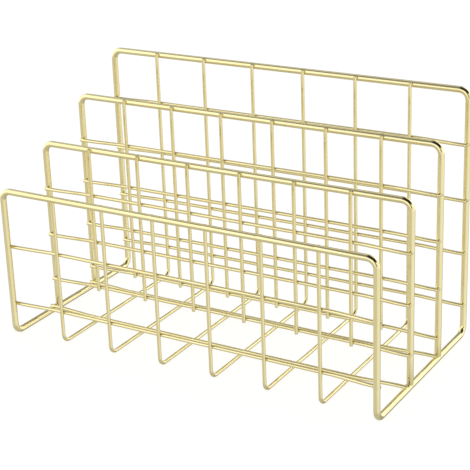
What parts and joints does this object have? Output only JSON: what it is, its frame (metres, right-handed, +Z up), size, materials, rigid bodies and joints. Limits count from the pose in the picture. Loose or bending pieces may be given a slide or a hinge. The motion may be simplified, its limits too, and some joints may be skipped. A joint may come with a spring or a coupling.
{
  "type": "mail sorter",
  "caption": "Desk mail sorter of welded gold-plated wire: grid panels stepping up towards the back on an open wire base, with letter slots between them.",
  "frame": {"origin": "on the table, under the middle of the outer loop", "axes": "+X along the panels to the right as seen from the front, +Y from the low front panel to the high back panel, +Z up"},
  "size_m": [0.3046, 0.1532, 0.1892],
  "materials": {
    "heavy_wire": "polished pale gold plating",
    "thin_wire": "polished pale gold plating"
  },
  "bodies": {
    "root": {"back_cross_wire_1": "thin_wire", "back_cross_wire_2": "thin_wire", "back_cross_wire_3": "thin_wire", "back_cross_wire_4": "thin_wire", "front_base_wire": "thin_wire", "front_cross_wire_1": "thin_wire", "front_cross_wire_2": "thin_wire", "front_divider_bar_1": "thin_wire", "front_divider_bar_2": "thin_wire", "front_divider_bar_3": "thin_wire", "front_divider_bar_4": "thin_wire", "front_divider_bar_5": "thin_wire", "front_divider_bar_6": "thin_wire", "front_divider_cross_wire_1": "thin_wire", "front_divider_cross_wire_2": "thin_wire", "front_divider_cross_wire_3": "thin_wire", "front_divider_frame": "heavy_wire", "outer_loop": "heavy_wire", "rear_base_wire": "thin_wire", "rear_divider_bar_1": "thin_wire", "rear_divider_bar_2": "thin_wire", "rear_divider_bar_3": "thin_wire", "rear_divider_bar_4": "thin_wire", "rear_divider_bar_5": "thin_wire", "rear_divider_bar_6": "thin_wire", "rear_divider_cross_wire_1": "thin_wire", "rear_divider_cross_wire_2": "thin_wire", "rear_divider_cross_wire_3": "thin_wire", "rear_divider_cross_wire_4": "thin_wire", "rear_divider_frame": "heavy_wire", "u_wire_1": "thin_wire", "u_wire_2": "thin_wire", "u_wire_3": "thin_wire", "u_wire_4": "thin_wire", "u_wire_5": "thin_wire", "u_wire_6": "thin_wire"}
  },
  "joints": []
}
